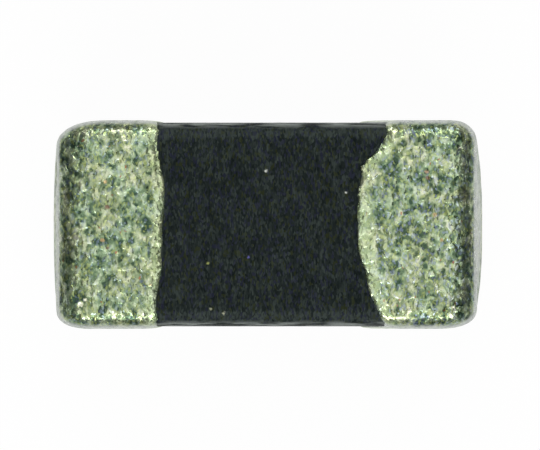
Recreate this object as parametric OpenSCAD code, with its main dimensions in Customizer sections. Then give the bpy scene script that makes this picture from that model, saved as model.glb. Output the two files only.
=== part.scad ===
// Multilayer chip ferrite bead, 1608 metric size
// A sintered ferrite block holds a coil of printed silver three-quarter turns, stacked along Z and
// joined by via plugs. The lowest and the highest print reach the end faces, where each end has a
// fired silver base, a nickel barrier and a tin cap.
// X is the length, Y the width and Z the thickness, in millimetres. The origin is the middle of the
// part, because its section is square and it can be soldered down on any of its four long sides.

/* [Ferrite body] */
// Length of the bare ferrite block
body_l = 1.518; // [1.2:0.002:1.9]
// Width of the bare ferrite block
body_w = 0.758; // [0.62:0.002:0.95]
// Thickness of the bare ferrite block
body_t = 0.758; // [0.62:0.002:0.95]
// Radius that tumbling leaves on the four long edges
edge_r = 0.052; // [0.03:0.002:0.08]
// Reach of the rounding round each end face, along the length
end_round_l = 0.085; // [0.03:0.005:0.1]
// Reach of that rounding in from the top and the bottom
end_round_t = 0.06; // [0.03:0.005:0.11]
// Reach of the rounding along X and Y at each upright edge, as tumbling left it, with +Y at the back
left_back_round = [0.15, 0.075]; // [0.03:0.005:0.16]
left_front_round = [0.09, 0.045]; // [0.03:0.005:0.16]
right_back_round = [0.065, 0.06]; // [0.03:0.005:0.16]
right_front_round = [0.105, 0.05]; // [0.03:0.005:0.16]
// Corner radius of the flat that is left on each end face
end_face_r = 0.022; // [0.01:0.002:0.03]

/* [Termination bands] */
// Lengths of the left cap at even steps across the top face from +Y to -Y, from its outermost point
left_top_line = [
    0.39, 0.381, 0.394, 0.413, 0.416, 0.413, 0.405,
    0.409, 0.401, 0.405, 0.393, 0.383, 0.385
];
// Lengths of the right cap at the same places
right_top_line = [
    0.359, 0.394, 0.45, 0.454, 0.463, 0.464, 0.462,
    0.467, 0.461, 0.439, 0.43, 0.416, 0.387
];
// Length of the left cap along the middle of each other face
left_band_mid = 0.412; // [0.3:0.002:0.5]
// Length of the left cap along the long edges
left_band_edge = 0.386; // [0.3:0.002:0.5]
// Shape of the left band's inner edge: 2 is a parabola, more is flatter in the middle
left_bow_power = 2; // [1.5:0.5:4]
// Length of the right cap along the middle of each other face
right_band_mid = 0.466; // [0.3:0.002:0.5]
// Length of the right cap along the long edges
right_band_edge = 0.356; // [0.3:0.002:0.5]
// Shape of the right band's inner edge: 2 is a parabola, more is flatter in the middle
right_bow_power = 3; // [1.5:0.5:4]
// How far the inner edges wander to each side of that shape, on all faces but the top
edge_wave = 0.006; // [0:0.001:0.01]
// How many times an edge wanders out and back on its way round the block
edge_wave_count = 9; // [3:1:13]

/* [Termination layers] */
// Silver in the middle of the left end face
left_silver_end = 0.03; // [0.01:0.002:0.06]
// Silver round the rim of the left end face
left_silver_rim = 0.016; // [0.008:0.002:0.05]
// Silver in the middle of the right end face
right_silver_end = 0.04; // [0.01:0.002:0.06]
// Silver round the rim of the right end face
right_silver_rim = 0.016; // [0.008:0.002:0.05]
// Shape of the silver's dome on the end faces: 2 is a parabola, more is flatter in the middle
end_dome_power = 3; // [2:0.5:6]
// Silver on the four long faces
silver_side = 0.003; // [0.003:0.001:0.02]
// Share of the silver that surface tension draws off the rounded edges
edge_thinning = 0.35; // [0:0.05:0.6]
// Length over which the silver thins out to its inner edge
taper_l = 0.05; // [0.02:0.005:0.08]
// Nickel plating
nickel_t = 0.002; // [0.001:0.0005:0.005]
// Tin plating
tin_t = 0.004; // [0.002:0.0005:0.01]
// How far each plating creeps past the layer under it
plating_creep = 0.008; // [0.003:0.001:0.015]

/* [Coil] */
// Number of printed three-quarter turns between the two leads
coil_turns = 6; // [1:1:8]
// Ferrite between the loop and each end face
coil_end_gap = 0.2; // [0.1:0.01:0.3]
// Ferrite between the loop and each side face
coil_side_gap = 0.12; // [0.08:0.01:0.16]
// Width of a printed trace
trace_w = 0.11; // [0.06:0.01:0.12]
// Thickness of a print
print_t = 0.012; // [0.006:0.001:0.02]
// Height from one print to the next
print_pitch = 0.045; // [0.03:0.001:0.06]
// Radius of the loop's corners, on the middle of the trace
loop_r = 0.07; // [0.065:0.005:0.09]
// Diameter of the pads at the ends of each turn
pad_d = 0.15; // [0.1:0.01:0.17]
// Diameter of the via plugs
via_d = 0.07; // [0.04:0.005:0.09]
// Width of the leads where they reach the end faces
lead_w = 0.26; // [0.12:0.01:0.3]

/* [Hidden] */

LEFT = -1;
RIGHT = 1;
$fn = 48;

// Facets of the lofted surfaces: steps round a long edge, across the top, -Y, bottom and +Y faces,
// round an end edge and out over an end face
corner_steps = 4;
FACE_STEPS = [len(left_top_line) - 1, 4, 6, 4];
round_steps = 5;
end_rings = 3;

// Colours as the photograph shows them, and the usual metal colours inside
ferrite_colour = [0.14, 0.16, 0.16];
tin_colour = [0.56, 0.61, 0.50];
nickel_colour = [0.62, 0.60, 0.55];
silver_colour = [0.85, 0.85, 0.87];

plating_t = nickel_t + tin_t;
body_x = (left_silver_end - right_silver_end) / 2;

function lerp(a, b, share) = a + (b - a) * share;
function wrap(corner) = (corner % 4 + 4) % 4;

// The loft that every surface of the block and its terminations shares
// A ring runs round the block. Each of its vertices holds its place across Y and Z, from -1 to 1
// between the centres of the rounded edges, and the angle of its outward normal from Y to Z.
RING_CORNERS = [[1, 1], [-1, 1], [-1, -1], [1, -1]];

function edge_vertices(q) =
    [for (k = [0:corner_steps]) [RING_CORNERS[q].x, RING_CORNERS[q].y, 90 * (q + k / corner_steps)]];

function face_vertices(q, steps) =
    [for (k = [1:steps - 1])
        let (place = lerp(RING_CORNERS[q], RING_CORNERS[(q + 1) % 4], k / steps))
        [place.x, place.y, 90 * (q + 1)]];

RING = [for (q = [0:3]) each concat(edge_vertices(q), face_vertices(q, FACE_STEPS[q]))];
RING_N = len(RING);

// A station is one ring of a termination, from the pole in the middle of the end face to the inner
// edge of its band: [share of the end face's size, angle of the normal towards the end, 1 past the
// end of the silver's full thickness, distance past that]
silver_taper = [for (share = [0, 0.4, 0.75, 1]) [1, 0, 1, share * taper_l]];
STATIONS = concat(
    [for (k = [0:end_rings]) [k / end_rings, 90, 0, 0]],
    [for (k = [1:round_steps]) [1, 90 * (1 - k / round_steps), 0, 0]],
    silver_taper,
    [for (k = [1:2]) [1, 0, 1, taper_l + k * plating_creep]]
);
TIN_EDGE = len(STATIONS) - 1;
NICKEL_EDGE = TIN_EDGE - 1;
SILVER_EDGE = NICKEL_EDGE - 1;

function silver_end(side) = side == LEFT ? left_silver_end : right_silver_end;
function silver_rim(side) = side == LEFT ? left_silver_rim : right_silver_rim;

// Length of a cap at ring vertex i on the top face, from the line across it
function top_length(side, i) =
    let (
        line = side == LEFT ? left_top_line : right_top_line,
        at = (1 - RING[i].x) / 2 * (len(line) - 1)
    )
    lerp(line[floor(at)], line[ceil(at)], at - floor(at));

// Length on the other faces: full in the middle of a face, less at the long edges, wandering a little
function plain_length(side, i) =
    let (
        middle = side == LEFT ? left_band_mid : right_band_mid,
        edge = side == LEFT ? left_band_edge : right_band_edge,
        power = side == LEFT ? left_bow_power : right_bow_power,
        off_middle = min(abs(RING[i].x), abs(RING[i].y)),
        wander = edge_wave * sin(360 * edge_wave_count * i / RING_N)
    )
    lerp(middle, edge, pow(off_middle, power)) + wander;

function band_length(side, i) =
    lerp(plain_length(side, i), top_length(side, i), pow(max(0, sin(RING[i].z)), 2));

// Reach of the rounding at the upright edge on the +Y or the -Y side, along X and Y
function corner_round(side, y) =
    side == LEFT ? (y > 0 ? left_back_round : left_front_round)
    : (y > 0 ? right_back_round : right_front_round);

// Reach of the end rounding along X at ring vertex i, drawn out towards the upright edges
function round_l(side, i) =
    lerp(end_round_l, corner_round(side, RING[i].x).x, pow(abs(RING[i].x), 4));

// Distance from the end rounding to where the silver starts to thin out
function full_silver_length(side, i) =
    band_length(side, i) - silver_end(side) - plating_t - round_l(side, i) - taper_l - 2 * plating_creep;

// Point of the bare block at station j and ring vertex i
function block_point(side, j, i) =
    let (
        place = RING[i],
        size = STATIONS[j][0],
        turn = STATIONS[j][1],
        radius = lerp(end_face_r, edge_r, cos(turn)),
        half_w = body_w / 2 - corner_round(side, place.x).y * (1 - cos(turn)) - radius,
        half_t = body_t / 2 - end_round_t * (1 - cos(turn)) - radius,
        along = STATIONS[j][2] * full_silver_length(side, i) + STATIONS[j][3],
        depth = round_l(side, i) * (1 - sin(turn)) + along
    )
    [
        body_x + side * (body_l / 2 - depth),
        size * (place.x * half_w + radius * cos(place.z)),
        size * (place.y * half_t + radius * sin(place.z))
    ];

function outward(side, j, i) =
    let (turn = STATIONS[j][1], around = RING[i].z)
    [side * sin(turn), cos(turn) * cos(around), cos(turn) * sin(around)];

// How much of an end face's dome stands at a point: 1 in the middle, 0 at the rim
function end_dome(side, point) =
    let (
        off_y = abs(point.y) / (body_w / 2 - corner_round(side, point.y).y),
        off_z = abs(point.z) / (body_t / 2 - end_round_t)
    )
    (1 - pow(off_y, end_dome_power)) * (1 - pow(off_z, end_dome_power));

// Silver is domed on the end face, thin over the rounded edges, even on the faces and ends in a meniscus
function silver_thickness(side, j, i) =
    let (
        turn = STATIONS[j][1],
        dome = lerp(silver_rim(side), silver_end(side), end_dome(side, block_point(side, j, i))),
        over_end_edge = lerp(silver_side, silver_rim(side), pow(sin(turn), 2)),
        left_on_end_edge = 1 - edge_thinning * sin(2 * turn),
        left_on_long_edge = 1 - edge_thinning * cos(turn) * abs(sin(2 * RING[i].z)),
        past = min(STATIONS[j][3] / taper_l, 1)
    )
    turn == 90 ? dome : over_end_edge * left_on_end_edge * left_on_long_edge * sqrt(1 - past * past);

function layer_thickness(side, j, i, layer) =
    layer == 1 ? silver_thickness(side, j, i)
    : layer == 2 ? (j < NICKEL_EDGE ? nickel_t : 0)
    : (j < TIN_EDGE ? tin_t : 0);

function build_up(side, j, i, layers) =
    layers == 0 ? 0 : layer_thickness(side, j, i, layers) + build_up(side, j, i, layers - 1);

// Points of the outside of so many layers: the pole, then each ring up to the last one
function surface_point(side, j, i, layers) =
    block_point(side, j, i) + build_up(side, j, i, layers) * outward(side, j, i);
function surface_points(side, layers, last) = concat(
    [surface_point(side, 0, 0, layers)],
    [for (j = [1:last]) for (i = [0:RING_N - 1]) surface_point(side, j, i, layers)]
);

// Triangles between the rings that start at the given vertices, wound for the right-hand outside
function ring_starts(pole, last) = [for (j = [0:last - 1]) pole + 1 + j * RING_N];
function fan(pole, ring) = [for (i = [0:RING_N - 1]) [pole, ring + (i + 1) % RING_N, ring + i]];
function strip(a, b) =
    [for (i = [0:RING_N - 1])
        let (k = (i + 1) % RING_N)
        each [[a + i, a + k, b + k], [a + i, b + k, b + i]]];
function sheet(pole, rings) =
    concat(fan(pole, rings[0]), [for (j = [1:len(rings) - 1]) each strip(rings[j - 1], rings[j])]);
function turned(faces) = [for (face = faces) [face[2], face[1], face[0]]];

// One layer of a termination, from the outside of what is under it to its own, closed at its inner edge
module termination_layer(side, layer, last) {
    under = surface_points(side, layer - 1, last);
    over = surface_points(side, layer, last - 1);
    under_rings = ring_starts(0, last);
    over_pole = len(under);
    over_rings = concat(ring_starts(over_pole, last - 1), [under_rings[last - 1]]);
    inside = sheet(0, under_rings);
    outside = sheet(over_pole, over_rings);
    polyhedron(
        points = concat(under, over),
        faces = side == RIGHT ? concat(turned(inside), outside) : concat(inside, turned(outside)),
        convexity = 6
    );
}

module silver_base(side) {
    color(silver_colour) termination_layer(side, 1, SILVER_EDGE);
}

module nickel_barrier(side) {
    color(nickel_colour) termination_layer(side, 2, NICKEL_EDGE);
}

// Cutting the cap out of a larger block joins its facets that lie in one plane, so that each land is one face
module tin_cap(side) {
    color(tin_colour) intersection() {
        termination_layer(side, 3, TIN_EDGE);
        cube(2 * [body_l, body_w, body_t], center = true);
    }
}

// The coil, in the middle of the block and clear of its faces
loop_half_l = body_l / 2 - coil_end_gap - trace_w / 2;
loop_half_w = body_w / 2 - coil_side_gap - trace_w / 2;
via_h = print_pitch - print_t;
LOOP_CORNERS = [[-1, -1], [1, -1], [1, 1], [-1, 1]];
// The left lead comes up at this corner, and the right lead leaves the loop past it
LEAD_CORNER = 1;

function print_z(k) = (k - (coil_turns + 1) / 2) * print_pitch - print_t / 2;
// Each turn starts where the one below it ended, three corners on
function start_corner(k) = wrap(LEAD_CORNER - (k - 1));
function loop_point(corner) = [LOOP_CORNERS[corner].x * loop_half_l, LOOP_CORNERS[corner].y * loop_half_w];
// Middle of a corner's arc, where the pads and vias are
function pad_place(corner) =
    let (inset = loop_r * (1 - cos(45)))
    [LOOP_CORNERS[corner].x * (loop_half_l - inset), LOOP_CORNERS[corner].y * (loop_half_w - inset)];

module loop_corner(corner) {
    way = LOOP_CORNERS[corner];
    outer_r = loop_r + trace_w / 2;
    translate([way.x * (loop_half_l - loop_r), way.y * (loop_half_w - loop_r)])
        intersection() {
            difference() {
                circle(r = outer_r);
                circle(r = loop_r - trace_w / 2);
            }
            translate([min(way.x, 0) * outer_r, min(way.y, 0) * outer_r])
                square(outer_r);
        }
}

// The straight trace from one corner to the next, or the stretch between two shares of its length
module loop_side(corner, from = 0, to = 1) {
    way = (LOOP_CORNERS[wrap(corner + 1)] - LOOP_CORNERS[corner]) / 2;
    first = loop_point(corner) + loop_r * way;
    last = loop_point(wrap(corner + 1)) - loop_r * way;
    a = lerp(first, last, from);
    b = lerp(first, last, to);
    translate((a + b) / 2)
        square([way.x == 0 ? trace_w : abs((b - a).x), way.y == 0 ? trace_w : abs((b - a).y)], center = true);
}

module pad(corner) {
    translate(pad_place(corner)) circle(d = pad_d);
}

// The strip between an end face and the loop, run on past the face by the given length
module lead_strip(side, past) {
    inner = loop_half_l - trace_w / 2;
    outer = body_l / 2 + past;
    translate([side * (inner + outer) / 2, 0])
        square([outer - inner, lead_w], center = true);
}

// Raises a flat print to its height and adds the via plug under it
module print_layer(k, via_corner = undef) {
    translate([body_x, 0, print_z(k)]) {
        linear_extrude(print_t) children();
        if (!is_undef(via_corner))
            translate([pad_place(via_corner).x, pad_place(via_corner).y, -via_h])
                cylinder(d = via_d, h = via_h);
    }
}

module coil_lead_left(past = 0) {
    color(silver_colour) print_layer(0) {
        lead_strip(LEFT, past);
        loop_side(3, from = 1 / 2);
        loop_corner(0);
        loop_side(0);
        loop_corner(LEAD_CORNER);
        pad(LEAD_CORNER);
    }
}

module coil_turn(k) {
    first = start_corner(k);
    color(silver_colour) print_layer(k, first) {
        for (corner = [0:3]) loop_corner(corner);
        for (n = [0:2]) loop_side(wrap(first + n));
        pad(first);
        pad(wrap(first + 3));
    }
}

module coil_lead_right(past = 0) {
    top = coil_turns + 1;
    first = start_corner(top);
    sides = wrap(LEAD_CORNER - first);
    color(silver_colour) print_layer(top, first) {
        for (n = [0:1:sides]) loop_corner(wrap(first + n));
        for (n = [0:1:sides - 1]) loop_side(wrap(first + n));
        loop_side(LEAD_CORNER, to = 1 / 2);
        lead_strip(RIGHT, past);
        pad(first);
    }
}

// The block, with the channel that the coil fills, open where the leads reach the end faces
module ferrite_body() {
    left = surface_points(LEFT, 0, TIN_EDGE);
    right = surface_points(RIGHT, 0, TIN_EDGE);
    left_rings = ring_starts(0, TIN_EDGE);
    right_rings = ring_starts(len(left), TIN_EDGE);
    belt = strip(right_rings[TIN_EDGE - 1], left_rings[TIN_EDGE - 1]);
    past_face = 0.02;
    color(ferrite_colour) difference() {
        polyhedron(
            points = concat(left, right),
            faces = concat(turned(sheet(0, left_rings)), sheet(len(left), right_rings), belt),
            convexity = 4
        );
        coil_lead_left(past_face);
        for (k = [1:coil_turns]) coil_turn(k);
        coil_lead_right(past_face);
    }
}

ferrite_body();
silver_base(LEFT);  // silver_base_left
silver_base(RIGHT);  // silver_base_right
nickel_barrier(LEFT);  // nickel_barrier_left
nickel_barrier(RIGHT);  // nickel_barrier_right
tin_cap(LEFT);  // tin_cap_left
tin_cap(RIGHT);  // tin_cap_right
coil_lead_left();
for (k = [1:coil_turns]) coil_turn(k);
coil_lead_right();
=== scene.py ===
"""Looks of a surface-mount ferrite bead: pitted tin on both ends of a dull, dark ferrite block."""
import math

import bpy
import numpy as np
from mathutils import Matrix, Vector, kdtree, noise

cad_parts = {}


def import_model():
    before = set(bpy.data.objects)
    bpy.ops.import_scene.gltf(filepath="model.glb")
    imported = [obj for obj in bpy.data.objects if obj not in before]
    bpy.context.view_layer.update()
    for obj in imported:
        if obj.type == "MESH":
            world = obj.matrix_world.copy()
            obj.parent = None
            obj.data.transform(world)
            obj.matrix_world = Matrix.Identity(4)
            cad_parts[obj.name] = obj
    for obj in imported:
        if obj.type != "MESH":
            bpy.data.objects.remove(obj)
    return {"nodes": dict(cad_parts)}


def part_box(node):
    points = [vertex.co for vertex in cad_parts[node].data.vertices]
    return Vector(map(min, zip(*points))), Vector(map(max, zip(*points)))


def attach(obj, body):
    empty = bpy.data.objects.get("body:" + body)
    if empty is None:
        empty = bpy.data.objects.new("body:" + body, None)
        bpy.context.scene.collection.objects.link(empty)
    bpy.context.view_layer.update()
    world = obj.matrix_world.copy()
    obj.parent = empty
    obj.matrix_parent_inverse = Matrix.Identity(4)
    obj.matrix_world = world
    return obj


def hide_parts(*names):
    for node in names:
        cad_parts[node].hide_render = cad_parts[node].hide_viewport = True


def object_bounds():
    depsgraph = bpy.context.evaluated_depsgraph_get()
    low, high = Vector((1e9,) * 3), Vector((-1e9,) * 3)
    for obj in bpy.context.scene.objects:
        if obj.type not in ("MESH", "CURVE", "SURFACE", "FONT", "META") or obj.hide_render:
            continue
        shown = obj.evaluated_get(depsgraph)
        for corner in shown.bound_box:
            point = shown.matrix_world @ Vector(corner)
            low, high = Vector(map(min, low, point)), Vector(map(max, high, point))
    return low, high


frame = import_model()
cad_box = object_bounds()

# Meshes are worked on in millimetres, because many tools round off sizes of a few micrometres
MM = 0.001
UM = 1e-6

# The photograph in pixels, the real size of a pixel in metres, and the pixel at the part's middle
PHOTO_WIDTH = 540
PHOTO_HEIGHT = 450
PIXEL = 3.725 * UM
PART_MIDDLE_PX = (268, 224.5)
# The camera's lens and sensor, in millimetres
LENS = 1000
SENSOR = 36
# Height at which a pixel has that size, as a share of the height of the part's top
SCALE_HEIGHT = 0.4

# Meshing: side of a quad on the tin and on the ferrite, in millimetres
TIN_QUAD = 0.005
FERRITE_QUAD = 0.0085

# Radius of the block's long edges, in millimetres
EDGE_R = 0.052

# A place inside each cap's hollow, in millimetres along X from the middle of the part
CAP_MIDDLE_X = 0.5
# The wall that closes a cap's skin while it is meshed: nearer the middle than the first, and deeper in
# the block than the second, in millimetres
WALL_X = 0.55
WALL_DEPTH = 0.002

# Relief in millimetres: the ferrite's unevenness, and the tin's pits, grain and broad swell
FERRITE_RELIEF = 0.0007
PIT_DEPTH = 0.0016
GRAIN_DEPTH = 0.0006
SWELL_DEPTH = 0.0007
# How far a cap's inner edge frays in long and in short waves, and the most that it moves out
LONG_FRAY = 0.0080
SHORT_FRAY = 0.0050
RIM_REACH = 0.014

# Seeds of each cap's relief
SEEDS = {"left": 11, "right": 23}

# Inner edges of the two bands along the photographed face, as (y, x) in millimetres
RIM_LEFT = [
    (0.378, -0.406), (0.348, -0.395), (0.307, -0.428), (0.251, -0.4135), (0.173, -0.406), (0.162, -0.3855),
    (0.132, -0.382), (0.069, -0.387), (0.028, -0.395), (-0.032, -0.395), (-0.058, -0.391), (-0.110, -0.3985),
    (-0.166, -0.395), (-0.210, -0.406), (-0.259, -0.417), (-0.307, -0.417), (-0.371, -0.4135),
]
RIM_RIGHT = [
    (0.378, 0.417), (0.337, 0.4395), (0.322, 0.443), (0.292, 0.432), (0.266, 0.395), (0.2365, 0.3595),
    (0.199, 0.350), (0.158, 0.346), (0.1285, 0.3315), (0.099, 0.339), (0.028, 0.335), (-0.028, 0.339),
    (-0.084, 0.328), (-0.125, 0.343), (-0.155, 0.3595), (-0.188, 0.367), (-0.240, 0.371), (-0.281, 0.387),
    (-0.311, 0.406), (-0.337, 0.417), (-0.352, 0.432), (-0.363, 0.447),
]

# Tin: its colours from the deepest hollow to the palest grain, then those of zones and grains, the seam, the
# darkening in the bends that is partly stain and partly painted shade, and the painted reflection round the
# outline
TIN_SHADES = [
    (0.0, (0.040, 0.072, 0.044)), (0.25, (0.133, 0.192, 0.106)), (0.5, (0.265, 0.335, 0.200)),
    (0.75, (0.420, 0.490, 0.325)), (1.0, (0.590, 0.635, 0.475)),
]
COOL_CAST = (0.94, 1.00, 1.02)
WARM_CAST = (1.05, 1.00, 0.97)
BLUE_GRAIN = (0.20, 0.23, 0.40)
YELLOW_GRAIN = (0.45, 0.51, 0.14)
RED_GRAIN = (0.30, 0.09, 0.04)
SEAM = (0.42, 0.51, 0.27)
WARM_STAIN_AND_SHADE = (0.060, 0.050, 0.036)
COOL_STAIN_AND_SHADE = (0.028, 0.048, 0.056)
TIN_EDGE_GLOW = (0.530, 0.555, 0.535)
# Share of the darkening, partly stain and partly painted shade, that each cap's end edge has
STAIN_AND_SHADE = {"left": 0.75, "right": 1.0}

# Ferrite: its colours from dark to pale, then those of single grains and of the glow painted on its long
# edges, a painted reflection of the white floor
FERRITE_SHADES = [
    (0.0, (0.0030, 0.0060, 0.0058)), (0.5, (0.0090, 0.0140, 0.0130)), (1.0, (0.032, 0.042, 0.038)),
]
BLUE_FERRITE = (0.012, 0.013, 0.036)
YELLOW_FERRITE = (0.024, 0.030, 0.006)
FERRITE_EDGE_GLOW = (0.30, 0.33, 0.31)

# Single specks that stand out in the photograph: (column, row, radius) in its pixels, and colour
RUST = (0.16, 0.06, 0.05)
WARM = (0.46, 0.30, 0.14)
# Painted glints: highlights put into the tin's colour at single places
GLINT = (0.95, 0.95, 0.75)
PALE_SPECK = (0.50, 0.52, 0.48)
TIN_SPECKS = [
    ((108, 207, 1.2), RUST), ((106, 182, 0.6), WARM), ((103, 240, 0.8), WARM), ((108, 248, 0.7), RUST),
    ((426, 172, 0.7), WARM), ((427, 178, 0.8), RUST), ((434, 215, 0.8), WARM), ((441, 240, 0.6), WARM),
    ((81, 304, 1.6), GLINT), ((78, 146, 1.2), GLINT), ((86, 300, 0.7), GLINT), ((460, 148, 1.0), GLINT),
    ((453, 308, 1.0), GLINT),
]
# Pale and coloured specks on the ferrite's top
FERRITE_SPECKS = [
    ((266, 171, 0.4), PALE_SPECK), ((346, 193, 0.0), PALE_SPECK), ((208, 263, 0.2), (0.22, 0.24, 0.08)),
    ((249, 257, 0.1), (0.08, 0.08, 0.26)), ((224, 313, 0.3), (0.34, 0.35, 0.24)),
    ((211, 309, 0.1), (0.24, 0.25, 0.16)),
]
# How far noise moves a speck's edge, and the width over which it fades, in micrometres
SPECK_FRAY = 7.0
SPECK_FADE = 6.0

# Radius of the floor in metres, and how white the camera sees it
FLOOR_RADIUS = 0.08
GROUND_WHITE = 0.965


# Small steps that every piece shares

def deselect():
    if bpy.context.object and bpy.context.object.mode != "OBJECT":
        bpy.ops.object.mode_set(mode="OBJECT")
    bpy.ops.object.select_all(action="DESELECT")


def only(piece):
    """Makes a piece the one selected object."""
    deselect()
    piece.select_set(True)
    bpy.context.view_layer.objects.active = piece


def resized(piece, factor):
    """Scales a piece about the origin, in its mesh."""
    only(piece)
    bpy.ops.transform.resize(value=(factor,) * 3, center_override=(0, 0, 0))
    bpy.ops.object.transform_apply(location=True, rotation=True, scale=True)


def edit(piece, kind="FACE"):
    """Opens a piece in edit mode with nothing selected."""
    only(piece)
    bpy.ops.object.mode_set(mode="EDIT")
    bpy.ops.mesh.select_mode(type=kind)
    bpy.ops.mesh.select_all(action="DESELECT")


def select_where(piece, kind, test):
    """Selects the faces or edges that pass a test, and leaves the piece in edit mode."""
    edit(piece, kind)
    bpy.ops.object.mode_set(mode="OBJECT")
    items = piece.data.polygons if kind == "FACE" else piece.data.edges
    for item in items:
        item.select = bool(test(item))
    bpy.ops.object.mode_set(mode="EDIT")


def modified(piece, kind, **settings):
    """Adds a modifier with its settings and applies it."""
    only(piece)
    modifier = piece.modifiers.new(kind.lower(), kind)
    for name, value in settings.items():
        setattr(modifier, name, value)
    bpy.ops.object.modifier_apply(modifier=modifier.name)


def merged_copy(node, name):
    """A node's mesh as a new piece in millimetres, with its loose triangles joined."""
    piece = bpy.data.objects.new(name, frame["nodes"][node].data.copy())
    bpy.context.scene.collection.objects.link(piece)
    piece.data.materials.clear()
    resized(piece, 1 / MM)
    edit(piece)
    bpy.ops.mesh.select_all(action="SELECT")
    bpy.ops.mesh.remove_doubles(threshold=1e-5)
    bpy.ops.object.mode_set(mode="OBJECT")
    return piece


def places(mesh):
    out = np.empty(len(mesh.vertices) * 3, np.float32)
    mesh.vertices.foreach_get("co", out)
    return out.reshape(-1, 3).astype(float)


def normals(mesh):
    out = np.empty(len(mesh.vertices) * 3, np.float32)
    mesh.vertex_normals.foreach_get("vector", out)
    return out.reshape(-1, 3).astype(float)


def moved_to(mesh, points):
    mesh.vertices.foreach_set("co", points.astype(np.float32).ravel())
    mesh.update()


def painted(mesh, name, values):
    """Stores one number at each vertex, for the piece's material."""
    layer = mesh.attributes.new(name, "FLOAT", "POINT")
    layer.data.foreach_set("value", values.astype(np.float32))


def smoothstep(low, high, values):
    share = np.clip((values - low) / (high - low), 0, 1)
    return share * share * (3 - 2 * share)


# Noise on a mesh's points

def lumps(points, size, seed):
    """Smooth noise from -1 to 1, with lumps about `size` across."""
    shift = Vector((seed * 7.3, seed * 3.1, seed * 5.7))
    return np.array([noise.noise(Vector(p) / size + shift) for p in points])


def hollows(points, spacing, stretch, share, seed):
    """Round hollows from 0 to 1, about `spacing` apart, drawn out along X. Only `share` of them show."""
    shift = Vector((seed * 3.7, seed * 9.1, seed * 1.9))
    depth = np.zeros(len(points))
    for i, (x, y, z) in enumerate(points):
        at = Vector((x / stretch, y, z)) / spacing + shift
        near, centres = noise.voronoi(at)
        lot = 0.5 + 0.5 * noise.cell(centres[0])
        if lot < share:
            reach = 0.3 + 0.3 * lot / share
            depth[i] = max(0, 1 - near[0] / reach)
    return smoothstep(0, 0.7, depth)


# Shader maths

class Wire:
    """An output socket. Arithmetic on it adds the Math nodes."""

    def __init__(self, recipe, socket):
        self.recipe = recipe
        self.socket = socket

    def out(self, name):
        """Another output of the same node."""
        return Wire(self.recipe, self.socket.node.outputs[name])

    def __add__(self, other):
        return self.recipe.maths("ADD", self, other)

    def __sub__(self, other):
        return self.recipe.maths("SUBTRACT", self, other)

    def __rsub__(self, other):
        return self.recipe.maths("SUBTRACT", other, self)

    def __mul__(self, other):
        return self.recipe.maths("MULTIPLY", self, other)

    def __gt__(self, other):
        return self.recipe.maths("GREATER_THAN", self, other)

    def __lt__(self, other):
        return self.recipe.maths("LESS_THAN", self, other)

    __radd__ = __add__
    __rmul__ = __mul__


class Recipe:
    """A node tree that is written as expressions."""

    def __init__(self, tree):
        self.tree = tree
        tree.nodes.clear()

    def add(self, kind, settings=None, inputs=None, output=0):
        """A node of a type, its settings first, then the values or links of its sockets."""
        node = self.tree.nodes.new("ShaderNode" + kind)
        for name, value in (settings or {}).items():
            if name == "stops":
                self.set_stops(node.color_ramp, value)
            else:
                setattr(node, name, value)
        for name, value in (inputs or {}).items():
            if isinstance(value, Wire):
                self.tree.links.new(value.socket, node.inputs[name])
            else:
                node.inputs[name].default_value = value
        return Wire(self, node.outputs[output])

    @staticmethod
    def set_stops(ramp, stops):
        """Stops are (place, colour or grey)."""
        while len(ramp.elements) < len(stops):
            ramp.elements.new(1)
        for element, (place, colour) in zip(ramp.elements, stops):
            element.position = place
            element.color = (*colour, 1) if isinstance(colour, tuple) else (colour, colour, colour, 1)

    def maths(self, operation, *values):
        return self.add("Math", {"operation": operation}, dict(enumerate(values)))

    def vector_maths(self, operation, a, b, output=0):
        return self.add("VectorMath", {"operation": operation}, {0: a, 1: b}, output)

    def mix(self, factor, a, b, blend="MIX"):
        """Two colours, by a factor."""
        inputs = {0: factor, 6: self.colour(a), 7: self.colour(b)}
        return self.add("Mix", {"data_type": "RGBA", "blend_type": blend}, inputs, output=2)

    @staticmethod
    def colour(value):
        return value if isinstance(value, Wire) else (*value, 1)

    def ramp(self, factor, stops):
        return self.add("ValToRGB", {"stops": stops}, {0: factor})

    def smooth(self, value, low, high):
        """A smooth step from 0 at `low` to 1 at `high`, which may be the lower of the two."""
        inputs = {"Value": value, "From Min": low, "From Max": high}
        return self.add("MapRange", {"interpolation_type": "SMOOTHSTEP"}, inputs)

    def bump(self, height):
        """A normal from a height in micrometres."""
        return self.add("Bump", {}, {"Strength": 1.0, "Distance": UM, "Height": height})

    def finish(self, kind, surface):
        """Links a shader to a new output of a kind."""
        output = self.tree.nodes.new("ShaderNodeOutput" + kind)
        self.tree.links.new(surface.socket, output.inputs[0])


def new_recipe(name):
    material = bpy.data.materials.new(name)
    material.use_nodes = True
    return material, Recipe(material.node_tree)


# Patterns, with sizes in micrometres

def object_place(recipe):
    return recipe.add("TexCoord", output="Object")


def micrometres(recipe, stretch=(1, 1, 1)):
    """Object coordinates in micrometres, shrunk along an axis to draw a pattern out along it."""
    return recipe.vector_maths("MULTIPLY", object_place(recipe), tuple(1 / (UM * s) for s in stretch))


def noise_of(recipe, place, size, detail=2.0):
    return recipe.add("TexNoise", {}, {"Vector": place, "Scale": 1 / size, "Detail": detail})


def attribute(recipe, name):
    return recipe.add("Attribute", {"attribute_name": name}, output="Fac")


def channels(recipe, colour):
    split = recipe.add("SeparateColor", {}, {0: colour})
    return split, split.out("Green"), split.out("Blue")


def cells(recipe, place, size):
    """Voronoi cells about `size` across: (random colour, offset from the cell's middle)."""
    cell = recipe.add("TexVoronoi", {}, {"Vector": place, "Scale": 1 / size}, output="Color")
    offset = recipe.vector_maths("SUBTRACT", place, cell.out("Position"))
    return cell, offset


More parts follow.
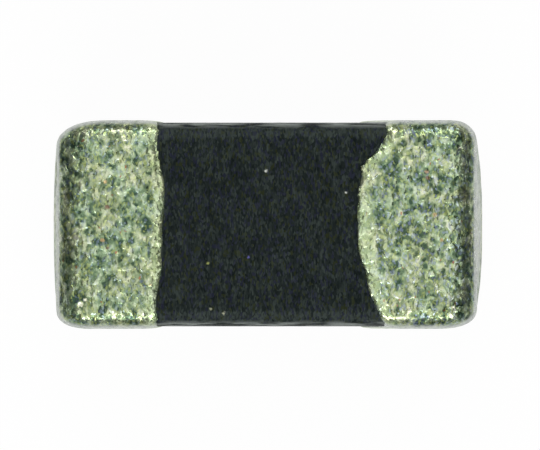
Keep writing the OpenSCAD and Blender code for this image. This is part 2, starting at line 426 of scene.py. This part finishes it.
def facets(recipe, cell, offset, slope):
    """Height of a flat facet in each cell, tilted at random by up to about `slope`."""
    lean = recipe.vector_maths("SUBTRACT", cell, (0.5, 0.5, 0.5))
    return recipe.vector_maths("DOT_PRODUCT", offset, lean, "Value") * (2 * slope)


def warped(recipe, place, size, reach):
    """Coordinates pushed about by noise, so that cells lose their straight sides."""
    push = noise_of(recipe, place, size, 1.0).out("Color")
    push = recipe.vector_maths("SUBTRACT", push, (0.5, 0.5, 0.5))
    push = recipe.vector_maths("MULTIPLY", push, (reach,) * 3)
    return recipe.vector_maths("ADD", place, push)


def dark_spots(recipe, place, spacing, share, reach):
    """1 inside irregular spots about `spacing` apart, at a share of the places."""
    spot = recipe.add("TexVoronoi", {}, {"Vector": place, "Scale": 1 / spacing}, output="Distance")
    lot, _, size = channels(recipe, spot.out("Color"))
    inside = recipe.smooth(spot - size * 0.12, reach, reach * 0.35)
    return inside * (lot < share)


def speck(recipe, spot, node):
    """1 within a small ragged spot on a node's top: (column, row, radius) in the photograph's pixels."""
    column, row, radius = spot
    x = (column - PART_MIDDLE_PX[0]) * PIXEL
    y = (PART_MIDDLE_PX[1] - row) * PIXEL
    gap = recipe.vector_maths("DISTANCE", object_place(recipe), (x, y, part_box(node)[1].z), "Value")
    fray = noise_of(recipe, micrometres(recipe), 9.0) * (2 * SPECK_FRAY) - SPECK_FRAY
    outside = radius * PIXEL / UM + SPECK_FRAY
    return recipe.smooth(gap * (1 / UM) + fray, outside, outside - SPECK_FADE)


# Materials

def tin_shade(recipe, upright, place, tone, grain):
    """How pale the tin's crust is, from 0 in its deepest hollows to 1 on its palest grains."""
    fine = noise_of(recipe, place, 8.0, 0.0)
    cluster = noise_of(recipe, upright, 46.0, 2.0)
    wide = dark_spots(recipe, place, 46.0, share=0.60, reach=0.38)
    small = dark_spots(recipe, place, 17.0, share=0.55, reach=0.42)
    hollow = wide + small * 0.6
    shade = grain * 0.42 + cluster * 1.2 + fine * 0.40 + tone * 0.09 - 0.588
    # Pits are darkened: painted shade in their recesses
    return shade - hollow * 0.36 - attribute(recipe, "pit") * 0.24 + attribute(recipe, "ridge") * 0.27


def tin_tints(recipe, base, upright, tint, rarity):
    """Adds cooler and warmer zones and single coloured grains, with more blue ones on the right cap."""
    zone = recipe.smooth(noise_of(recipe, upright, 95.0, 1.0), 0.40, 0.60)
    base = recipe.mix(1.0, base, recipe.mix(zone, COOL_CAST, WARM_CAST), "MULTIPLY")
    right = recipe.add("SeparateXYZ", {}, {0: upright}) > 0.0
    base = recipe.mix((tint > 0.83) * (right * 0.14 + 0.24), base, BLUE_GRAIN)
    base = recipe.mix((tint < 0.18) * 0.30, base, YELLOW_GRAIN)
    return recipe.mix((rarity > 0.998) * 0.7, base, RED_GRAIN)


def tin_edges(recipe, base, upright, grain):
    """Adds darkening where a cap bends to its end face, patchy like stains and partly painted shade, and a
    painted reflection of the floor as a pale edge round its outline.
    """
    # Darkening in the bend: partly stains, partly painted shade where the bend reflects the dark
    # surroundings
    bend = attribute(recipe, "bend")
    patchy = noise_of(recipe, upright, 30.0) + bend * 0.08 - grain * 0.10
    stain_and_shade = bend * recipe.smooth(patchy, 0.44, 0.60)
    cast = recipe.smooth(noise_of(recipe, upright, 55.0), 0.44, 0.52)
    base = recipe.mix(stain_and_shade * 0.48, base, recipe.mix(cast, WARM_STAIN_AND_SHADE, COOL_STAIN_AND_SHADE))
    # Painted reflection of the white floor, pale and patchy, round the outline
    glow_patches = recipe.smooth(noise_of(recipe, upright, 24.0), 0.30, 0.52)
    return recipe.mix(attribute(recipe, "fringe") * (glow_patches * 0.35 + 0.52), base, TIN_EDGE_GLOW)


def tin_material():
    """Matt tin: a pale sage crust with darker hollows, fine coloured grain, a few warm specks and painted
    glints.
    """
    material, recipe = new_recipe("matt_tin")
    upright = micrometres(recipe, stretch=(1, 1.35, 1))
    place = warped(recipe, upright, 26.0, 16.0)
    cell, offset = cells(recipe, place, 7.0)
    tone, tint, rarity = channels(recipe, cell)
    grain = recipe.smooth(noise_of(recipe, place, 19.0, 0.5), 0.36, 0.64)
    base = recipe.ramp(tin_shade(recipe, upright, place, tone, grain), TIN_SHADES)
    base = tin_tints(recipe, base, upright, tint, rarity)
    base = recipe.mix(attribute(recipe, "ridge") * 0.45, base, SEAM)
    # Warm and rust specks, and painted glints
    for spot, colour in TIN_SPECKS:
        base = recipe.mix(speck(recipe, spot, "tin_cap_left") * 0.7, base, colour)
    surface = recipe.add("BsdfPrincipled", {}, {
        "Base Color": tin_edges(recipe, base, upright, grain),
        "Metallic": 0.85,
        "Roughness": 0.26 + tone * 0.10 + attribute(recipe, "pit") * 0.2,
        "Normal": recipe.bump(grain * 1.2 + facets(recipe, cell, offset, 0.16)),
    })
    recipe.finish("Material", surface)
    return material


def ferrite_material():
    """Sintered ferrite: dull blue-green black with faint coloured grain and pale specks, a painted highlight
    in a belt along each long edge and a painted reflection of the floor on its outer half.
    """
    material, recipe = new_recipe("ferrite")
    place = warped(recipe, micrometres(recipe, stretch=(1, 2.1, 1)), 8.0, 4.0)
    cell, offset = cells(recipe, place, 6.2)
    tone, tint, _ = channels(recipe, cell)
    mottle = noise_of(recipe, place, 26.0)
    # Painted highlight: the belt just inside each long edge is made paler, where the lamps' reflection falls
    brink = attribute(recipe, "brink")
    base = recipe.ramp(tone * 0.68 + mottle * 0.9 - 0.29 + brink * 0.34, FERRITE_SHADES)
    base = recipe.mix((tint > 0.84) * 0.5, base, BLUE_FERRITE)
    base = recipe.mix((tint < 0.12) * 0.5, base, YELLOW_FERRITE)
    for spot, colour in FERRITE_SPECKS:
        base = recipe.mix(speck(recipe, spot, "ferrite_body"), base, colour)
    streaks = noise_of(recipe, micrometres(recipe, stretch=(7, 1, 1)), 16.0)
    # Painted reflection of the white floor on the rounded long edges, made streaky and uneven
    wear = attribute(recipe, "wear") * (recipe.smooth(streaks, 0.40, 0.62) * 0.95 + 0.05)
    surface = recipe.add("BsdfPrincipled", {}, {
        "Base Color": recipe.mix(wear, base, FERRITE_EDGE_GLOW),
        "Roughness": 0.42 + tone * 0.12,
        "Specular IOR Level": 0.06,
        "Normal": recipe.bump(facets(recipe, cell, offset, 0.25)),
    })
    recipe.finish("Material", surface)
    return material


def inner_metal(name, colour, roughness, grain):
    """A sealed metal layer: fine grain in its colour, gloss and height."""
    material, recipe = new_recipe(name)
    cell, offset = cells(recipe, micrometres(recipe), grain)
    tone, _, _ = channels(recipe, cell)
    dark = tuple(c * 0.7 for c in colour)
    surface = recipe.add("BsdfPrincipled", {}, {
        "Base Color": recipe.mix(tone, dark, colour),
        "Metallic": 1.0,
        "Roughness": roughness + tone * 0.15,
        "Normal": recipe.bump(facets(recipe, cell, offset, 0.15)),
    })
    recipe.finish("Material", surface)
    return material


# The ferrite block

def ferrite_block():
    """The block: the outline of its CAD form, finely meshed and very slightly uneven."""
    block = merged_copy("ferrite_body", "ferrite_block")
    edit(block)
    bpy.ops.mesh.select_all(action="SELECT")
    bpy.ops.mesh.convex_hull()
    bpy.ops.object.mode_set(mode="OBJECT")
    modified(block, "REMESH", mode="VOXEL", voxel_size=FERRITE_QUAD, use_smooth_shade=True)
    modified(block, "SMOOTH", factor=0.5, iterations=12)
    mesh = block.data
    points = places(mesh)
    facing = normals(mesh)
    relief = 0.5 * lumps(points, 0.035, 1) + 0.5 * lumps(points, 0.015, 2)
    moved_to(mesh, points + facing * (relief * FERRITE_RELIEF - FERRITE_RELIEF)[:, None])
    # The outer half of each long edge gets a painted reflection of the white floor, and the belt just inside
    # it gets a painted highlight that makes it paler
    aside = np.abs(facing[:, 1])
    up = np.abs(facing[:, 2])
    painted(mesh, "wear", smoothstep(0.52, 1.05, aside) * smoothstep(0.08, 0.3, up))
    painted(mesh, "brink", smoothstep(0.01, 0.12, aside) * (1 - smoothstep(0.5, 0.8, aside)))
    return block


# The tin caps

def is_lining(face, middle_x):
    """Does a cap's face look at the block? On the band, outward means away from the X axis."""
    away = face.center - Vector((middle_x, 0, 0))
    if (face.center.x - middle_x) * middle_x < 0:
        away.x = 0
    return face.normal.dot(away) < 0


def half_of_cap(side, name, lining):
    """The outside or the lining of a cap's CAD form."""
    piece = merged_copy(f"tin_cap_{side}", name)
    middle_x = -CAP_MIDDLE_X if side == "left" else CAP_MIDDLE_X
    select_where(piece, "FACE", lambda face: is_lining(face, middle_x) != lining)
    bpy.ops.mesh.delete(type="FACE")
    bpy.ops.object.mode_set(mode="OBJECT")
    return piece


def depth_in_block(centre, half):
    """Depth of a point below the block's long faces, which lie `half` from X with rounded edges."""
    inner = half - EDGE_R
    y = abs(centre.y) - inner
    z = abs(centre.z) - inner
    return EDGE_R - math.hypot(max(y, 0), max(z, 0)) - min(max(y, z), 0)


def is_wall(face, half):
    return abs(face.center.x) < WALL_X and depth_in_block(face.center, half) > WALL_DEPTH


def tin_skin(side):
    """A cap's outside, closed by a wall, meshed evenly and opened again."""
    skin = half_of_cap(side, f"tin_{side}", lining=False)
    edit(skin, "EDGE")
    bpy.ops.mesh.select_non_manifold()
    bpy.ops.mesh.edge_face_add()
    bpy.ops.object.mode_set(mode="OBJECT")
    modified(skin, "REMESH", mode="VOXEL", voxel_size=TIN_QUAD, use_smooth_shade=True)
    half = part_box("ferrite_body")[1].y / MM
    select_where(skin, "FACE", lambda face: is_wall(face, half))
    bpy.ops.mesh.delete(type="FACE")
    bpy.ops.object.mode_set(mode="OBJECT")
    return skin


def rim_distances(mesh):
    """Each vertex's distance from the open edge, in millimetres."""
    used = np.zeros(len(mesh.edges), int)
    for face in mesh.polygons:
        for loop in face.loop_indices:
            used[mesh.loops[loop].edge_index] += 1
    rim = {v for edge in mesh.edges if used[edge.index] == 1 for v in edge.vertices}
    tree = kdtree.KDTree(len(rim))
    for v in rim:
        tree.insert(mesh.vertices[v].co, v)
    tree.balance()
    return np.array([tree.find(vertex.co)[2] for vertex in mesh.vertices])


def weighted_smooth(piece, weights, iterations):
    """Smooths a piece as far as each vertex's weight lets it."""
    group = piece.vertex_groups.new(name="smoothed")
    for i, weight in enumerate(weights):
        group.add([i], float(weight), "REPLACE")
    modified(piece, "SMOOTH", factor=0.5, iterations=iterations, vertex_group="smoothed")
    piece.vertex_groups.clear()


def rim_line(points, on_rim, across):
    """X of the inner edge on the top face, at places across the width."""
    top = on_rim & (points[:, 2] > points[:, 2].max() - 0.02)
    order = np.argsort(points[top, 1])
    return np.interp(across, points[top, 1][order], points[top, 0][order])


def shaped_rim(side, points, facing, distance):
    """The inner edge follows the photographed line on top, and frays a little everywhere."""
    ys, xs = np.array(RIM_LEFT if side == "left" else RIM_RIGHT)[::-1].T
    outward = 1 if side == "left" else -1
    shift = np.interp(points[:, 1], ys, xs) - rim_line(points, distance < 1e-6, points[:, 1])
    on_top = smoothstep(0.5, 0.95, facing[:, 2])
    fray = LONG_FRAY * lumps(points, 0.032, 3) + SHORT_FRAY * lumps(points, 0.013, 4)
    reach = np.clip(on_top * outward * shift + fray, 0, RIM_REACH)
    out = points.copy()
    out[:, 0] += outward * reach * (1 - smoothstep(0.0, 0.06, distance))
    return out


def tin_pits(points, distance, seed):
    """Wide and narrow pits from 0 to 1, clear of the inner edge."""
    wide = hollows(points, 0.060, 1.5, 0.45, seed)
    narrow = hollows(points, 0.024, 1.1, 0.4, seed + 1)
    return np.maximum(wide, 0.8 * narrow) * smoothstep(0.02, 0.04, distance)


def tin_depth(points, facing, pit, seed):
    """How far the tin lies below its CAD form, which is less where it bends."""
    grain = 0.5 + 0.5 * lumps(points, 0.0105, seed + 2)
    swell = 0.5 + 0.5 * lumps(points, 0.045, seed + 3)
    bent = 1 - np.abs(facing).max(axis=1)
    depth = PIT_DEPTH * pit + GRAIN_DEPTH * grain + SWELL_DEPTH * swell
    return depth * (1 - 0.6 * smoothstep(0.01, 0.06, bent))


def paint_tin(mesh, side, facing, distance, pit):
    """Where the material shows pits, darkened as painted shade, a painted reflection on the outline's edge,
    darkening in the bend that is partly stain and partly painted shade, and the seam at the inner edge.
    """
    painted(mesh, "pit", pit)
    aside = smoothstep(0.72, 0.92, np.hypot(facing[:, 0], facing[:, 1]))
    painted(mesh, "fringe", aside * smoothstep(0.05, 0.22, np.abs(facing[:, 2])))
    tilt = np.abs(facing[:, 0])
    bend = smoothstep(0.26, 0.44, tilt) * (1 - smoothstep(0.66, 0.80, tilt))
    painted(mesh, "bend", bend * STAIN_AND_SHADE[side])
    painted(mesh, "ridge", smoothstep(0.0, 0.006, distance) * (1 - smoothstep(0.030, 0.048, distance)))


def join_lining(skin, lining):
    """Joins a cap's outside to its lining along their open edges."""
    deselect()
    lining.select_set(True)
    skin.select_set(True)
    bpy.context.view_layer.objects.active = skin
    bpy.ops.object.join()
    edit(skin, "EDGE")
    bpy.ops.mesh.select_non_manifold()
    bpy.ops.mesh.bridge_edge_loops()
    bpy.ops.object.mode_set(mode="OBJECT")


def tin_cap(side):
    """A tin cap: the CAD form with its crystalline relief outside and a plain lining."""
    skin = tin_skin(side)
    mesh = skin.data
    distance = rim_distances(mesh)
    weighted_smooth(skin, smoothstep(0.004, 0.02, distance), iterations=24)
    facing = normals(mesh)
    points = shaped_rim(side, places(mesh), facing, distance)
    pit = tin_pits(points, distance, SEEDS[side])
    moved_to(mesh, points - facing * tin_depth(points, facing, pit, SEEDS[side])[:, None])
    paint_tin(mesh, side, facing, distance, pit)
    join_lining(skin, half_of_cap(side, f"lining_{side}", lining=True))
    return skin


# Finishing the pieces

def finished(piece, node, material):
    """Returns a piece to metres, gives it its material and its body, and hides the CAD node it stands for.
    """
    resized(piece, MM)
    for face in piece.data.polygons:
        face.use_smooth = True
    piece.data.materials.clear()
    piece.data.materials.append(material)
    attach(piece, "root")
    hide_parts(node)


def finish_inner_nodes():
    """The sealed layers and prints keep their CAD meshes and get their metals."""
    metals = {
        "nickel": inner_metal("nickel_plate", (0.55, 0.50, 0.42), roughness=0.3, grain=3.0),
        "silver_base": inner_metal("fired_silver", (0.80, 0.80, 0.78), roughness=0.45, grain=6.0),
        "coil": inner_metal("printed_silver", (0.78, 0.77, 0.74), roughness=0.5, grain=5.0),
    }
    for name, node in frame["nodes"].items():
        for start, metal in metals.items():
            if name.startswith(start):
                node.data.materials.clear()
                node.data.materials.append(metal)


# Setting

def floor_material():
    """White to the camera and in reflections, with the part's own shadow left on it."""
    material, recipe = new_recipe("white_floor")
    rays = recipe.add("LightPath", output="Is Camera Ray")
    seen = recipe.maths("MAXIMUM", rays, rays.out("Is Glossy Ray"))
    seen = recipe.maths("MAXIMUM", seen, rays.out("Is Transmission Ray"))
    paint = recipe.add("BsdfDiffuse", {}, {"Color": (0.8, 0.8, 0.8, 1)})
    white = recipe.add("Emission", {}, {"Color": (1, 1, 1, 1), "Strength": 1.0})
    surface = recipe.add("MixShader", {}, {0: seen * GROUND_WHITE, 1: paint, 2: white})
    recipe.finish("Material", surface)
    return material


def floor():
    low, _ = cad_box
    middle = (0, 0, low.z)
    bpy.ops.mesh.primitive_circle_add(vertices=64, radius=FLOOR_RADIUS, fill_type="NGON", location=middle)
    ground = bpy.context.object
    ground.name = "floor"
    bpy.ops.object.transform_apply(location=True)
    ground.data.materials.append(floor_material())


def soft_box(name, size, height, lean_y, radiance):
    """A rectangular lamp above the part, leaning towards Y by an angle in degrees."""
    lamp = bpy.data.objects.new(name, bpy.data.lights.new(name, "AREA"))
    bpy.context.scene.collection.objects.link(lamp)
    lamp.data.shape = "RECTANGLE"
    lamp.data.size, lamp.data.size_y = size
    lamp.data.energy = radiance * math.pi * size[0] * size[1]
    angle = math.radians(lean_y)
    lamp.location = (0, height * math.sin(angle), height * math.cos(angle))
    lamp.rotation_euler = (-angle, 0, 0)


def lights():
    """A broad lamp overhead, and two strips whose reflections are the glints along the caps' edges."""
    soft_box("overhead", size=(0.022, 0.085), height=0.03, lean_y=0, radiance=1.0)
    soft_box("far_strip", size=(0.024, 0.0045), height=0.029, lean_y=41, radiance=8.8)
    soft_box("near_strip", size=(0.024, 0.0045), height=0.029, lean_y=-36, radiance=14.0)


def world():
    """Pale at the horizon, a dark belt above it and dim overhead."""
    sky = bpy.data.worlds.new("studio")
    bpy.context.scene.world = sky
    sky.use_nodes = True
    recipe = Recipe(sky.node_tree)
    way = recipe.add("TexCoord", output="Generated")
    up = recipe.add("SeparateXYZ", {}, {0: way}, output="Z")
    # From the horizon at 0.5 to straight up at 1
    greys = [(0.5, 1.0), (0.54, 0.85), (0.57, 0.08), (0.88, 0.06), (0.95, 0.4), (1.0, 0.5)]
    colour = recipe.ramp(up * 0.5 + 0.5, greys)
    surface = recipe.add("Background", {}, {"Color": colour, "Strength": 1.0})
    recipe.finish("World", surface)


def camera():
    """Straight down on the part, with a long lens as a microscope sees it."""
    cam = bpy.data.objects.new("camera", bpy.data.cameras.new("camera"))
    bpy.context.scene.collection.objects.link(cam)
    cam.data.lens = LENS
    cam.data.sensor_width = SENSOR
    distance = PIXEL * PHOTO_WIDTH * LENS / SENSOR
    right = (PHOTO_WIDTH / 2 - PART_MIDDLE_PX[0]) * PIXEL
    up = (PART_MIDDLE_PX[1] - PHOTO_HEIGHT / 2) * PIXEL
    cam.location = (right, up, cad_box[1].z * SCALE_HEIGHT + distance)
    cam.data.clip_start = distance / 10
    cam.data.clip_end = distance * 10
    bpy.context.scene.camera = cam


def main():
    bpy.context.scene.view_settings.view_transform = "Standard"
    camera()
    finished(ferrite_block(), "ferrite_body", ferrite_material())
    tin = tin_material()
    for side in ("left", "right"):
        finished(tin_cap(side), f"tin_cap_{side}", tin)
    finish_inner_nodes()
    floor()
    lights()
    world()
    deselect()


main()
